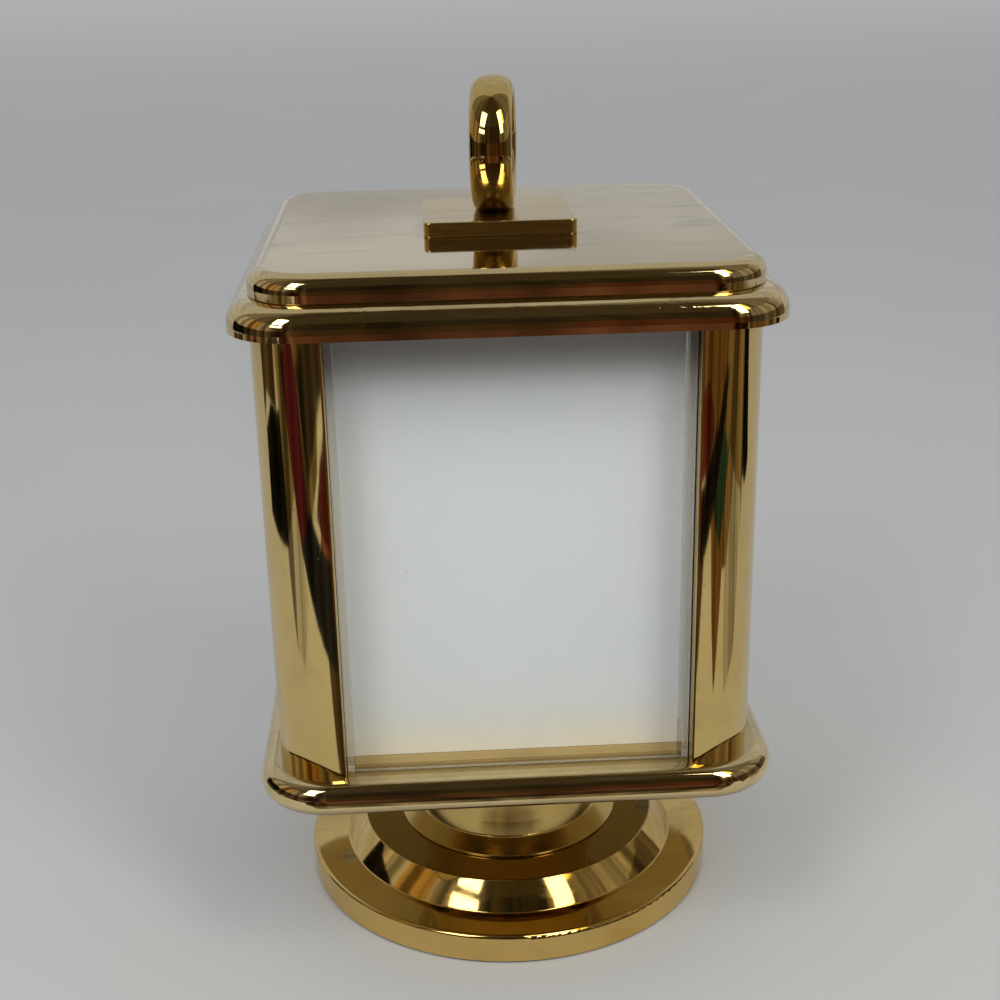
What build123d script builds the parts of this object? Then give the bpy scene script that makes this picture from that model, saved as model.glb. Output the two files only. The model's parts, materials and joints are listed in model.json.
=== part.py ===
from build123d import *
import math
import os

# A revolving picture frame clock in brass: a turned pedestal carries a square box that swivels.
# Three windows of the box hold prints behind clear panes, the fourth holds a quartz clock insert,
# and the lid with its ring handle lifts off so that prints slide in from above.
# Millimetres. +Z is up, the front window faces -Y and the clock faces +Y.
# The origin is on the table, under the middle of the foot.

os.makedirs("parts", exist_ok=True)

# Print that each window takes
print_width = 63.5
print_height = 88.9
print_thickness = 0.4

# Clearances
slip_gap = 0.3        # between pieces that slide past each other by hand
slot_gap = 0.1        # each side of a sheet in its groove
stand_gap = 0.05      # under a sheet that stands on the tray
running_gap = 0.08    # radial, between a shaft and the hole that it turns in
screw_gap = 0.05      # radial, round a screw
joint_round = 0.2     # rounding that shows as a dark line where two brass pieces meet

# Box
print_cover = 0.75         # strip of the print hidden by a post, each side
post_width = 13.0
post_round = 16.0
post_edge_round = 0.4
pane_setback = 2.8         # from the outside of the posts to the pane
pane_thickness = 1.4
pane_hold = 0.9            # how far a pane reaches into the posts
pane_wing = 1.2            # thickness of the pane's side wings
print_setback = 9.0        # from the outside of the posts to the print
core_wall = 1.2
panel_thickness = 1.5

# Pedestal
foot_radius = 41.5
foot_lip_height = 6.0
foot_lip_round = 0.8
foot_air = 0.3             # the brass stays this far off the table
felt_thickness = 1.3
felt_margin = 3.6          # from the edge of the foot to the felt
cone_bottom_radius = 34.0
cone_top_radius = 30.0
cone_height = 4.9
cone_round = 0.4
cone_bulge = 0.2           # corner of the two tangents of the cone's curve, out from its chord
cone_curve = 45.0          # radius of that curve
neck_radius = 17.0
neck_flare = 1.7           # how much wider the neck is just above its shoulder
neck_flare_height = 8.7
neck_flare_curve = 60.0    # radius of the curve from the straight neck into the flare
neck_shoulder_run = 3.8    # sloping ring at the base
neck_shoulder_height = 2.0
neck_shoulder_round = 0.6
neck_base_step = 0.5
neck_length = 24.7
collar_height = 3.2
collar_cove = 2.6
collar_round = 0.8
collar_flat = 0.1          # between the cove and the rounding of the collar
spigot_radius = 7.5
spigot_length = 5.0
neck_cavity_radius = 5.5
neck_web = 6.0

# Swivel
pivot_radius = 2.5
pivot_head_radius = 4.6
pivot_head_height = 3.0
pivot_tail = 1.0           # bolt end past the nut
washer_thickness = 1.0
thrust_washer_radius = 13.0
lower_washer_radius = 5.2
spring_washer_height = 1.2
spring_washer_thickness = 0.6
pivot_nut_width = 8.0
pivot_nut_height = 4.0

# Tray
tray_overhang = 3.15
tray_thickness = 6.4
tray_corner = 12.5
tray_edge_round = 3.15

# Cap rim
rim_overhang = 2.9
rim_edge_height = 4.65
rim_rise = 0.65            # from the outer edge up to where the lid sits
rim_corner = 11.8
rim_edge_round = 4.2
rim_wall = 5.42            # narrowest part of the rim, in front of a window

# Lid
lid_step = 3.6             # from the edge of the rim in to the lid
lid_height = 4.6
lid_corner = 10.5
lid_wall = 2.0
lid_hollow = 2.9
lid_edge_round = 3.1
locator_plate = 1.5
locator_wall = 1.5
locator_reach = 1.6        # how far the locator drops into the core

# Handle
plaque_width = 27.3
plaque_depth = 26.0
plaque_height = 2.7
plaque_offset = -1.1
plaque_corner = 1.2
plaque_edge_round = 0.35
ring_outer_radius = 12.5
ring_width = 7.6
ring_thickness = 4.2
ring_flat = 1.0            # depth of the flat that the ring stands on
ring_turn = -6.0           # degrees that the ring is turned on its stud
ring_offset = -0.35        # the ring is soldered a little to one side of its stud
handle_stud_radius = 2.0
handle_washer_radius = 4.5
handle_washer_thickness = 0.8
handle_nut_width = 7.0
handle_nut_height = 3.2
stud_tail = 0.6

# Screws
post_screw_radius = 1.5
post_screw_head_radius = 2.8
post_screw_head_height = 2.0
post_screw_grip = 8.0
post_screw_inset = 8.5     # from the outside of the posts
core_screw_radius = 1.25
core_screw_head_radius = 2.4
core_screw_head_height = 1.6
core_screw_grip = 2.5
core_screw_spacing = 40.0
recess_gap = 0.1           # round and under a sunk screw head
driver_slot_width = 0.9
driver_slot_depth = 0.8

# Clock insert, measured outwards from the face of the clock panel
gasket_length = 2.5
gasket_thickness = 1.0
bezel_flange = 2.5         # how far the bezel reaches past the hole in the panel
bezel_round = 2.4
bezel_edge_round = 0.3
bezel_lip = 1.1
bezel_lip_height = 0.9
sleeve_wall = 0.9
crimp_height = 0.38
crimp_reach = 0.7
glass_gap = 0.1            # radial, round the glass, dial, spacer and cup
lens_thickness = 1.0
lens_dome = 0.8
dial_thickness = 0.5
dial_face = -0.8
spacer_wall = 1.0
cup_wall = 1.0
cup_depth = 5.3
cup_corner_gap = 0.79      # from the corners of the movement's hole to the wall of the cup

# Movement
case_depth = 9.2
case_wall = 1.0
case_front_wall = 1.2
cover_thickness = 1.0
bushing_radius = 3.9
bushing_tail = 0.1         # bushing past its nut
movement_nut_radius = 5.4
movement_nut_height = 1.0
layer_gap = 0.4            # between one wheel and the next
works_gap = 0.38           # between the wheels and the side of the case
cell_radius = 5.8
cell_thickness = 3.1
cell_gap = 0.3
cell_inset = 6.7           # from the edge of the case to the middle of the cell
bay_floor = 0.5
bay_wall = 0.7
strap_width = 4.0
strap_foot = 1.7           # how far the strap reaches past the bay, each side
strap_thickness = 0.4
strap_dimple_radius = 1.2
strap_dimple_gap = 0.15
board_margin = 1.2         # between the ends of the board and the case
board_depth = 9.5
board_thickness = 0.8
quartz_radius = 1.0
quartz_length = 6.0

# Wheels of the motion work
gear_module = 0.4
cannon_teeth = 10
transfer_wheel_teeth = 30
transfer_pinion_teeth = 8
hour_wheel_teeth = 32
addendum = 0.8             # tooth height above the pitch circle, in modules
dedendum = 1.2
root_share = 0.30          # half widths of a tooth, in parts of the tooth spacing
pitch_share = 0.215
tip_share = 0.09
cannon_thickness = 1.0
hour_wheel_thickness = 0.8
seconds_wheel_thickness = 0.6
seconds_wheel_radius = 5.0
pipe_radius = 2.4
minute_arbor_radius = 1.5
seconds_arbor_radius = 0.7
seconds_pivot_radius = 0.5
transfer_arbor_radius = 0.8
pivot_boss_radius = 1.6
front_pivot_length = 0.6
knob_radius = 4.2
knob_height = 2.2
knob_flutes = 18
knob_flute_depth = 0.25

# Hands, shown at ten past ten
hand_gap = 0.3
hour_hand_length = 12.5
minute_hand_length = 18.5
seconds_hand_length = 20.0
hour_hand_thickness = 0.4
minute_hand_thickness = 0.35
seconds_hand_thickness = 0.25
hour_hand_width = 2.6
minute_hand_width = 2.0
seconds_hand_width = 0.7
hour_hand_angle = 305.0    # degrees clockwise from twelve
minute_hand_angle = 60.0
seconds_hand_angle = 205.0
hour_hub_radius = 3.3
minute_hub_radius = 2.5
seconds_hub_radius = 1.6
hand_tip_share = 0.25
tail_share = 0.28

# Places worked out from the sizes above
window_width = print_width - 2 * print_cover
box_half = window_width / 2 + post_width
window_half = window_width / 2
neck_base_radius = neck_radius + neck_flare + neck_shoulder_run
collar_radius = neck_radius + collar_cove + collar_flat + collar_round
foot_top = foot_lip_height + cone_height
neck_top = foot_top + neck_length
tray_bottom = neck_top + washer_thickness
tray_top = tray_bottom + tray_thickness
lid_seat_height = rim_edge_height + rim_rise
rim_bottom = tray_top + stand_gap + print_height + slip_gap - lid_hollow - lid_seat_height
rim_edge = rim_bottom + rim_edge_height
lid_bottom = rim_edge + rim_rise
lid_ceiling = lid_bottom + lid_hollow
lid_top = lid_bottom + lid_height
plaque_top = lid_top + plaque_height
sheet_bottom = tray_top + stand_gap
sheet_top = lid_bottom - slip_gap
tray_size = 2 * (box_half + tray_overhang)
rim_size = 2 * (box_half + rim_overhang)
lid_size = rim_size - 2 * lid_step
pane_face = box_half - pane_setback
pane_back = pane_face - pane_thickness
print_face = box_half - print_setback
print_back = print_face - print_thickness
core_half = print_back - slip_gap
core_arm = window_half - slip_gap
core_inside = core_arm - core_wall
post_screw_place = box_half - post_screw_inset
clock_height = (tray_top + rim_bottom) / 2

transfer_offset = gear_module * (cannon_teeth + transfer_wheel_teeth) / 2
transfer_wheel_tip = gear_module * (transfer_wheel_teeth / 2 + addendum)
case_half = transfer_offset + transfer_wheel_tip + works_gap + case_wall
cup_hole_half = case_half + slip_gap
board_half = case_half - case_wall - board_margin
cell_offset = case_half - cell_inset
bay_half = cell_radius + cell_gap + bay_wall
glass_radius = math.sqrt(2) * cup_hole_half + cup_corner_gap + cup_wall
sleeve_inside = glass_radius + glass_gap
sleeve_outside = sleeve_inside + sleeve_wall
panel_hole_radius = sleeve_outside + gasket_thickness + running_gap
bezel_radius = panel_hole_radius + bezel_flange
dial_back = dial_face - dial_thickness
case_front = dial_back
case_inside = case_front - case_front_wall
case_back = case_front - case_depth
cover_back = case_back - cover_thickness
hour_wheel_front = case_inside - layer_gap
cannon_front = hour_wheel_front - hour_wheel_thickness - layer_gap
cannon_back = cannon_front - cannon_thickness
seconds_wheel_front = cannon_back - layer_gap
seconds_wheel_back = seconds_wheel_front - seconds_wheel_thickness
bay_front = seconds_wheel_back - layer_gap
cell_front = bay_front - bay_floor - stand_gap
cell_back = cell_front - cell_thickness
movement_nut_front = dial_face + movement_nut_height
hour_hand_back = movement_nut_front + bushing_tail + hand_gap
hour_hand_front = hour_hand_back + hour_hand_thickness
minute_hand_back = hour_hand_front + hand_gap
minute_hand_front = minute_hand_back + minute_hand_thickness
seconds_hand_back = minute_hand_front + hand_gap
seconds_hand_front = seconds_hand_back + seconds_hand_thickness
lens_back = seconds_hand_front + hand_gap
lens_front = lens_back + lens_thickness
bezel_front = lens_front + bezel_lip_height
cup_back = dial_back - cup_depth
knob_front = cover_back - slip_gap
knob_back = knob_front - knob_height

# Seen from behind the object, with x to that viewer's right, y up and z towards the viewer
clock_place = Location(Plane(origin=(0, pane_face, clock_height), x_dir=(-1, 0, 0), z_dir=(0, 1, 0)))


def block(x0, x1, y0, y1, z0, z1):
    """Box between two corners."""
    centre = Pos((x0 + x1) / 2, (y0 + y1) / 2, (z0 + z1) / 2)
    return centre * Box(x1 - x0, y1 - y0, z1 - z0)


def disc(radius, z0, z1, x=0.0, y=0.0):
    return Pos(x, y, (z0 + z1) / 2) * Cylinder(radius, z1 - z0)


def tube(outside, inside, z0, z1):
    return disc(outside, z0, z1) - disc(inside, z0, z1)


def slab(size, corner, z0, z1):
    """Square plate with rounded corners."""
    return Pos(0, 0, z0) * extrude(RectangleRounded(size, size, corner), z1 - z0)


def turned(*corners):
    """Solid turned about Z. Each corner has a radius, a height and its own rounding."""
    points = [(radius, height) for radius, height, rounding in corners]
    roundings = [rounding for radius, height, rounding in corners]
    outline = FilletPolyline(*points, radius=roundings, close=True)
    return revolve(Plane.XZ * make_face(outline), Axis.Z)


def hexagon(width, hole, z0, z1):
    """Hexagon nut with a plain hole."""
    outline = RegularPolygon(width / 2, 6, major_radius=False)
    return Pos(0, 0, z0) * extrude(outline, z1 - z0) - disc(hole, z0, z1)


def edges_at(part, height):
    """Edges that lie flat at one height."""
    return part.edges().filter_by_position(Axis.Z, height - 0.01, height + 0.01)


def cross(half_length, half_width, z0, z1):
    """Upright bar with the section of a plus sign."""
    bar = block(-half_length, half_length, -half_width, half_width, z0, z1)
    return bar + Rot(0, 0, 90) * bar


def four_corners(place):
    return [(x * place, y * place) for x in (-1, 1) for y in (-1, 1)]


def pedestal_foot():
    """Turned foot: a lip, a flat ring, a bulging cone and a flat top, bored for the neck's spigot."""
    bore = spigot_radius + screw_gap
    felt_edge = foot_radius - felt_margin
    cone_run = cone_bottom_radius - cone_top_radius
    slant = math.hypot(cone_run, cone_height)
    bulge_radius = cone_top_radius + cone_run / 2 + cone_bulge * cone_height / slant
    bulge_height = foot_lip_height + cone_height / 2 + cone_bulge * cone_run / slant
    return turned(
        (bore, felt_thickness, 0),
        (felt_edge, felt_thickness, 0),
        (felt_edge, foot_air, 0),
        (foot_radius, foot_air, foot_air),
        (foot_radius, foot_lip_height, foot_lip_round),
        (cone_bottom_radius, foot_lip_height, cone_round),
        (bulge_radius, bulge_height, cone_curve),
        (cone_top_radius, foot_top, cone_round),
        (bore, foot_top, 0),
    )


def pedestal_neck():
    """Turned neck that screws into the foot; its collar carries the swivel."""
    collar_bottom = neck_top - collar_height
    shoulder_bottom = foot_top + neck_base_step
    shoulder_top = shoulder_bottom + neck_shoulder_height
    web_bottom = neck_top - neck_web
    spigot_bottom = foot_top - spigot_length
    return turned(
        (pivot_radius + running_gap, neck_top, 0),
        (collar_radius, neck_top, collar_round),
        (collar_radius, collar_bottom, collar_round),
        (neck_radius, collar_bottom, collar_cove),
        (neck_radius, shoulder_top + neck_flare_height, neck_flare_curve),
        (neck_radius + neck_flare, shoulder_top, neck_shoulder_round),
        (neck_base_radius, shoulder_bottom, joint_round),
        (neck_base_radius, foot_top, joint_round),
        (spigot_radius, foot_top, 0),
        (spigot_radius, spigot_bottom, 0),
        (neck_cavity_radius, spigot_bottom, 0),
        (neck_cavity_radius, web_bottom, 0),
        (pivot_radius + running_gap, web_bottom, 0),
    )


def pedestal():
    felt_radius = foot_radius - felt_margin - slot_gap
    hole = pivot_radius + running_gap
    web_bottom = neck_top - neck_web
    return {
        "foot_felt": disc(felt_radius, 0, felt_thickness),
        "pedestal_foot": pedestal_foot(),
        "pedestal_neck": pedestal_neck(),
        "thrust_washer": tube(thrust_washer_radius, hole, neck_top, tray_bottom),
        "lower_washer": tube(lower_washer_radius, hole, web_bottom - washer_thickness, web_bottom),
    }


def swivel():
    """Bolt through the tray and the neck, with a dished spring washer and a nut under the web."""
    spring_top = neck_top - neck_web - washer_thickness
    nut_top = spring_top - spring_washer_height
    nut_bottom = nut_top - pivot_nut_height
    bolt = disc(pivot_radius, nut_bottom - pivot_tail, tray_top)
    head = disc(pivot_head_radius, tray_top, tray_top + pivot_head_height)
    hole = pivot_radius + screw_gap
    dish = turned(
        (hole, nut_top, 0),
        (hole, nut_top + spring_washer_thickness, 0),
        (lower_washer_radius, spring_top, 0),
        (lower_washer_radius, spring_top - spring_washer_thickness, 0),
    )
    return {
        "pivot_bolt": bolt + head,
        "spring_washer": dish,
        "pivot_nut": hexagon(pivot_nut_width, hole, nut_bottom, nut_top),
    }


def base_tray():
    """Square tray with a full round edge and sunk holes for the post screws."""
    tray = slab(tray_size, tray_corner, tray_bottom, tray_top)
    tray = fillet(edges_at(tray, tray_top) + edges_at(tray, tray_bottom), tray_edge_round)
    tray -= disc(pivot_radius + screw_gap, tray_bottom, tray_top)
    sink = post_screw_head_height + recess_gap
    for x, y in four_corners(post_screw_place):
        tray -= disc(post_screw_radius + screw_gap, tray_bottom, tray_top, x, y)
        tray -= disc(post_screw_head_radius + recess_gap, tray_bottom, tray_bottom + sink, x, y)
    for x in (-core_screw_spacing / 2, core_screw_spacing / 2):
        tray -= disc(core_screw_radius + screw_gap, tray_top - core_screw_grip, tray_top, x)
    return tray


def corner_post():
    """Rounded post at +X +Y, with a groove for a pane and one for a print on both inner sides."""
    centre = box_half - post_round
    reach = centre + math.sqrt(post_round**2 - (window_half - centre) ** 2)
    middle = centre + post_round * math.cos(math.radians(45))
    outline = [
        Line((window_half, window_half), (reach, window_half)),
        ThreePointArc((reach, window_half), (middle, middle), (window_half, reach)),
        Line((window_half, reach), (window_half, window_half)),
    ]
    post = Pos(0, 0, tray_top) * extrude(make_face(outline), rim_bottom - tray_top)
    outer_edges = [
        edge
        for edge in post.edges().filter_by(Axis.Z)
        if max(edge.center().X, edge.center().Y) > middle
    ]
    post = fillet(outer_edges, post_edge_round)
    grooves = [
        (pane_back - slot_gap, pane_face + slot_gap, pane_hold),
        (print_back - slot_gap, print_face + slot_gap, print_cover),
    ]
    for near, far, depth in grooves:
        end = window_half + depth + slot_gap
        post -= block(window_half, end, near, far, tray_top, rim_bottom)
        post -= block(near, far, window_half, end, tray_top, rim_bottom)
    hole = post_screw_radius + screw_gap
    place = post_screw_place
    depth = post_screw_grip + slip_gap
    post -= disc(hole, tray_top, tray_top + depth, place, place)
    post -= disc(hole, rim_bottom - depth, rim_bottom, place, place)
    return post


def cap_rim():
    """Frame on the posts, open in the middle so that panes and prints pass through it."""
    rim = slab(rim_size, rim_corner, rim_bottom, rim_edge)
    lower = Pos(0, 0, rim_edge) * RectangleRounded(rim_size, rim_size, rim_corner)
    upper = Pos(0, 0, lid_bottom) * RectangleRounded(lid_size, lid_size, lid_corner)
    rim += loft([lower, upper])
    rim = fillet(edges_at(rim, rim_edge), rim_edge_round)
    opening_half = rim_size / 2 - rim_wall
    opening_arm = window_half + pane_hold + slip_gap
    rim -= cross(opening_half, opening_arm, rim_bottom, lid_bottom)
    sink = post_screw_head_height + recess_gap
    for x, y in four_corners(post_screw_place):
        rim -= disc(post_screw_radius + screw_gap, rim_bottom, lid_bottom, x, y)
        rim -= disc(post_screw_head_radius + recess_gap, lid_bottom - sink, lid_bottom, x, y)
    return rim


def screw(radius, head_radius, head_height, seat, end, up):
    """Slotted screw about Z. The head is above its seat if up is 1, and below it if up is -1."""
    low, high = sorted((seat, end))
    shank = disc(radius, low, high)
    head_end = seat + up * head_height
    head_low, head_high = sorted((seat, head_end))
    slot_low, slot_high = sorted((head_end, head_end - up * driver_slot_depth))
    half = driver_slot_width / 2
    slot = block(-head_radius, head_radius, -half, half, slot_low, slot_high)
    return shank + disc(head_radius, head_low, head_high) - slot


def tray_screws():
    seat = tray_bottom + post_screw_head_height + recess_gap
    one = screw(
        post_screw_radius,
        post_screw_head_radius,
        post_screw_head_height,
        seat,
        tray_top + post_screw_grip,
        -1,
    )
    return Compound(children=[Pos(x, y, 0) * one for x, y in four_corners(post_screw_place)])


def rim_screws():
    seat = lid_bottom - post_screw_head_height - recess_gap
    one = screw(
        post_screw_radius,
        post_screw_head_radius,
        post_screw_head_height,
        seat,
        rim_bottom - post_screw_grip,
        1,
    )
    return Compound(children=[Pos(x, y, 0) * one for x, y in four_corners(post_screw_place)])


def core_screws():
    one = screw(
        core_screw_radius,
        core_screw_head_radius,
        core_screw_head_height,
        tray_top + core_wall,
        tray_top - core_screw_grip,
        1,
    )
    places = (-core_screw_spacing / 2, core_screw_spacing / 2)
    return Compound(children=[Pos(x, 0, 0) * one for x in places])


def pane():
    """Clear pane of the front window, with wings that hold the print back from it."""
    half = window_half + pane_hold
    sheet = block(-half, half, -pane_face, -pane_back, sheet_bottom, sheet_top)
    wing_end = print_face + slot_gap
    wing_out = window_half - slot_gap
    for side in (-1, 1):
        x0, x1 = sorted((side * wing_out, side * (wing_out - pane_wing)))
        sheet += block(x0, x1, -pane_back, -wing_end, sheet_bottom, sheet_top)
    return sheet


def photo_card():
    """Blank print of the front window."""
    half = print_width / 2
    top = sheet_bottom + print_height
    return block(-half, half, -print_face, -print_back, sheet_bottom, top)


def inner_core():
    """Open box behind the prints: it backs them and leaves room for the clock movement."""
    core = cross(core_half, core_arm, tray_top, sheet_top)
    core -= cross(core_half - core_wall, core_inside, tray_top + core_wall, sheet_top)
    core -= disc(pivot_head_radius + slip_gap, tray_top, tray_top + core_wall)
    for x in (-core_screw_spacing / 2, core_screw_spacing / 2):
        core -= disc(core_screw_radius + screw_gap, tray_top, tray_top + core_wall, x)
    gate_half = panel_hole_radius + core_wall
    gate_bottom = clock_height - gate_half
    core -= block(-gate_half, gate_half, core_inside, core_half, gate_bottom, sheet_top)
    return core


def clock_panel():
    """Brass plate in the rear window, with a round hole for the clock insert."""
    half = window_half + pane_hold
    plate = block(-half, half, pane_face - panel_thickness, pane_face, sheet_bottom, sheet_top)
    hole = clock_place * disc(panel_hole_radius, -panel_thickness, 0)
    return plate - hole


def box():
    post = corner_post()
    front_pane = pane()
    front_card = photo_card()
    left = Rot(0, 0, -90)
    right = Rot(0, 0, 90)
    nodes = {
        "base_tray": base_tray(),
        "post_rear_right": post,
        "post_rear_left": Rot(0, 0, 90) * post,
        "post_front_left": Rot(0, 0, 180) * post,
        "post_front_right": Rot(0, 0, 270) * post,
        "cap_rim": cap_rim(),
        "tray_screws": tray_screws(),
        "rim_screws": rim_screws(),
        "pane_front": front_pane,
        "pane_left": left * front_pane,
        "pane_right": right * front_pane,
        "card_front": front_card,
        "card_left": left * front_card,
        "card_right": right * front_card,
        "inner_core": inner_core(),
        "core_screws": core_screws(),
        "clock_panel": clock_panel(),
    }
    nodes.update(swivel())
    return nodes


def ring_handle():
    """Band ring that stands on the plaque, with the threaded stud that holds the whole handle."""
    section = Ellipse(ring_thickness / 2, ring_width / 2)
    section = Pos(ring_outer_radius - ring_thickness / 2, 0) * section
    ring = Rot(0, 90, 0) * revolve(Plane.XZ * section, Axis.Z)
    reach = ring_outer_radius
    ring = Pos(ring_offset, 0, plaque_top - ring_flat + reach) * ring
    ring -= block(-reach, reach, -reach, reach, plaque_top - reach, plaque_top)
    nut_bottom = lid_ceiling - locator_plate - handle_washer_thickness - handle_nut_height
    stud = disc(handle_stud_radius, nut_bottom - stud_tail, plaque_top)
    return Rot(0, 0, ring_turn) * (ring + stud)


def handle_plaque():
    plate = extrude(RectangleRounded(plaque_width, plaque_depth, plaque_corner), plaque_height)
    plate = Pos(0, plaque_offset, lid_top) * plate
    plate = fillet(edges_at(plate, plaque_top), plaque_edge_round)
    plate = fillet(edges_at(plate, lid_top), joint_round)
    return plate - disc(handle_stud_radius + screw_gap, lid_top, plaque_top)


def lid_group():
    """Lid with its handle, and the locator under it that drops into the core."""
    lid = slab(lid_size, lid_corner, lid_bottom, lid_top)
    lid = fillet(edges_at(lid, lid_top), lid_edge_round)
    lid = fillet(edges_at(lid, lid_bottom), joint_round)
    lid -= slab(lid_size - 2 * lid_wall, lid_corner - lid_wall, lid_bottom, lid_ceiling)
    hole = handle_stud_radius + screw_gap
    lid -= disc(hole, lid_ceiling, lid_top)
    half = core_inside - slip_gap
    low = sheet_top - locator_reach
    plate_bottom = lid_ceiling - locator_plate
    locator = block(-half, half, -half, half, low, lid_ceiling)
    inner = half - locator_wall
    locator -= block(-inner, inner, -inner, inner, low, plate_bottom)
    locator -= disc(hole, plate_bottom, lid_ceiling)
    washer_bottom = plate_bottom - handle_washer_thickness
    nut_bottom = washer_bottom - handle_nut_height
    return {
        "lid": lid,
        "lid_locator": locator,
        "handle_plaque": handle_plaque(),
        "ring_handle": ring_handle(),
        "handle_washer": tube(handle_washer_radius, hole, washer_bottom, plate_bottom),
        "handle_nut": hexagon(handle_nut_width, hole, nut_bottom, washer_bottom),
    }


def clock_bezel():
    """Round bezel with a sleeve; the sleeve's crimped end traps the cup, dial, spacer and glass."""
    lip_radius = sleeve_inside - bezel_lip
    crimp_inside = sleeve_inside - crimp_reach
    sleeve_end = cup_back - crimp_height
    return turned(
        (sleeve_inside, cup_back, 0),
        (sleeve_inside, lens_front, 0),
        (lip_radius, lens_front, 0),
        (lip_radius, bezel_front, bezel_edge_round),
        (bezel_radius, bezel_front, bezel_round),
        (bezel_radius, 0, 0),
        (sleeve_outside, 0, 0),
        (sleeve_outside, sleeve_end, 0),
        (crimp_inside, sleeve_end, 0),
        (crimp_inside, cup_back, 0),
    )


def clock_lens():
    """Glass with a domed front, part of a ball."""
    edge = sleeve_inside - bezel_lip - glass_gap
    ball = (edge**2 + lens_dome**2) / (2 * lens_dome)
    top = lens_front + lens_dome
    halfway = (edge / 2, top - ball + math.sqrt(ball**2 - (edge / 2) ** 2))
    outline = [
        Line((0, lens_back), (glass_radius, lens_back)),
        Line((glass_radius, lens_back), (glass_radius, lens_front)),
        Line((glass_radius, lens_front), (edge, lens_front)),
        ThreePointArc((edge, lens_front), halfway, (0, top)),
        Line((0, top), (0, lens_back)),
    ]
    return revolve(Plane.XZ * make_face(outline), Axis.Z)


def clock_cup():
    """Shallow cup behind the dial, with a square hole for the movement."""
    cup = tube(glass_radius, glass_radius - cup_wall, cup_back, dial_back)
    back = disc(glass_radius, cup_back, cup_back + cup_wall)
    half = cup_hole_half
    back -= block(-half, half, -half, half, cup_back, cup_back + cup_wall)
    return cup + back


def gear(teeth, tooth_at, z0, z1):
    """Wheel with straight-sided teeth, one of them at the angle tooth_at."""
    pitch_radius = gear_module * teeth / 2
    tip = pitch_radius + addendum * gear_module
    root = pitch_radius - dedendum * gear_module
    spacing = 360 / teeth
    flank = [(root, -root_share), (pitch_radius, -pitch_share), (tip, -tip_share)]
    flank += [(radius, -share) for radius, share in reversed(flank)]
    points = []
    for tooth in range(teeth):
        for radius, share in flank:
            angle = math.radians(tooth_at + spacing * (tooth + share))
            points.append((radius * math.cos(angle), radius * math.sin(angle)))
    outline = Polyline(*points, close=True)
    return Pos(0, 0, z0) * extrude(make_face(outline), z1 - z0)


def hand(length, width, hub_radius, hole_radius, angle, z0, z1):
    """Hand that tapers at both ends from a wide place near its middle, turned clockwise."""
    tail = length * tail_share
    middle = length * (1 - tail_share) / 2
    tip = width * hand_tip_share / 2
    outline = Polyline(
        (-tip, -tail),
        (tip, -tail),
        (width / 4, 0),
        (width / 2, middle),
        (tip, length),
        (-tip, length),
        (-width / 2, middle),
        (-width / 4, 0),
        close=True,
    )
    blade = Pos(0, 0, z0) * extrude(make_face(outline), z1 - z0)
    whole = blade + disc(hub_radius, z0, z1) - disc(hole_radius, z0, z1)
    return Rot(0, 0, -angle) * whole


def movement_case():
    """Case open at the back, with the threaded bushing that clamps it to the dial."""
    half = case_half
    inner = half - case_wall
    case = block(-half, half, -half, half, case_back, case_front)
    case -= block(-inner, inner, -inner, inner, case_back, case_inside)
    case += disc(bushing_radius, case_front, movement_nut_front + bushing_tail)
    case -= disc(pipe_radius + running_gap, case_inside, movement_nut_front + bushing_tail)
    pivot = seconds_pivot_radius + running_gap
    end = case_inside + front_pivot_length + running_gap
    case -= disc(pivot, case_inside, end, 0, -transfer_offset)
    slot = bay_half + slot_gap
    case -= block(-slot, slot, inner, half, case_back, bay_front + slot_gap)
    return case


def movement_cover():
    """Back of the movement: a plate with the battery bay and the rear pivot of the seconds wheel."""
    half = case_half
    cover = block(-half, half, -half, half, cover_back, case_back)
    inside = bay_half - bay_wall
    outside = bay_half
    wall = disc(outside, cover_back, bay_front, 0, cell_offset)
    wall += block(-outside, outside, cell_offset, half, cover_back, bay_front)
    wall &= block(-outside, outside, -half, half, cover_back, bay_front)
    cover += wall
    floor = bay_front - bay_floor
    cover -= disc(inside, cover_back, floor, 0, cell_offset)
    cover -= block(-inside, inside, cell_offset, half, cover_back, floor)
    boss_front = seconds_wheel_back - layer_gap
    cover += disc(pivot_boss_radius, case_back, boss_front)
    cover -= disc(seconds_pivot_radius + running_gap, case_back, boss_front)
    cover -= disc(transfer_arbor_radius + running_gap, cover_back, case_back, 0, -transfer_offset)
    return cover


def battery_strap():
    """Spring strip across the battery bay, with a dimple towards the cell."""
    half = bay_half + strap_foot
    low = cover_back - strap_thickness
    y0 = cell_offset - strap_width / 2
    strip = block(-half, half, y0, y0 + strap_width, low, cover_back)
    dimple = disc(strap_dimple_radius, cover_back, cell_back - strap_dimple_gap, 0, cell_offset)
    return strip + dimple


def circuit_board():
    """Small board on the cover, with the quartz can on it."""
    front = case_back + board_thickness
    low = -case_half + case_wall + slip_gap
    board = block(-board_half, board_half, low, low + board_depth, case_back, front)
    board -= disc(transfer_arbor_radius + slip_gap, case_back, front, 0, -transfer_offset)
    can = Rot(0, 90, 0) * Cylinder(quartz_radius, quartz_length)
    x = -board_half + quartz_length / 2 + slip_gap
    y = low + quartz_radius + slip_gap
    return Compound(children=[board, Pos(x, y, front + quartz_radius) * can])


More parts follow.
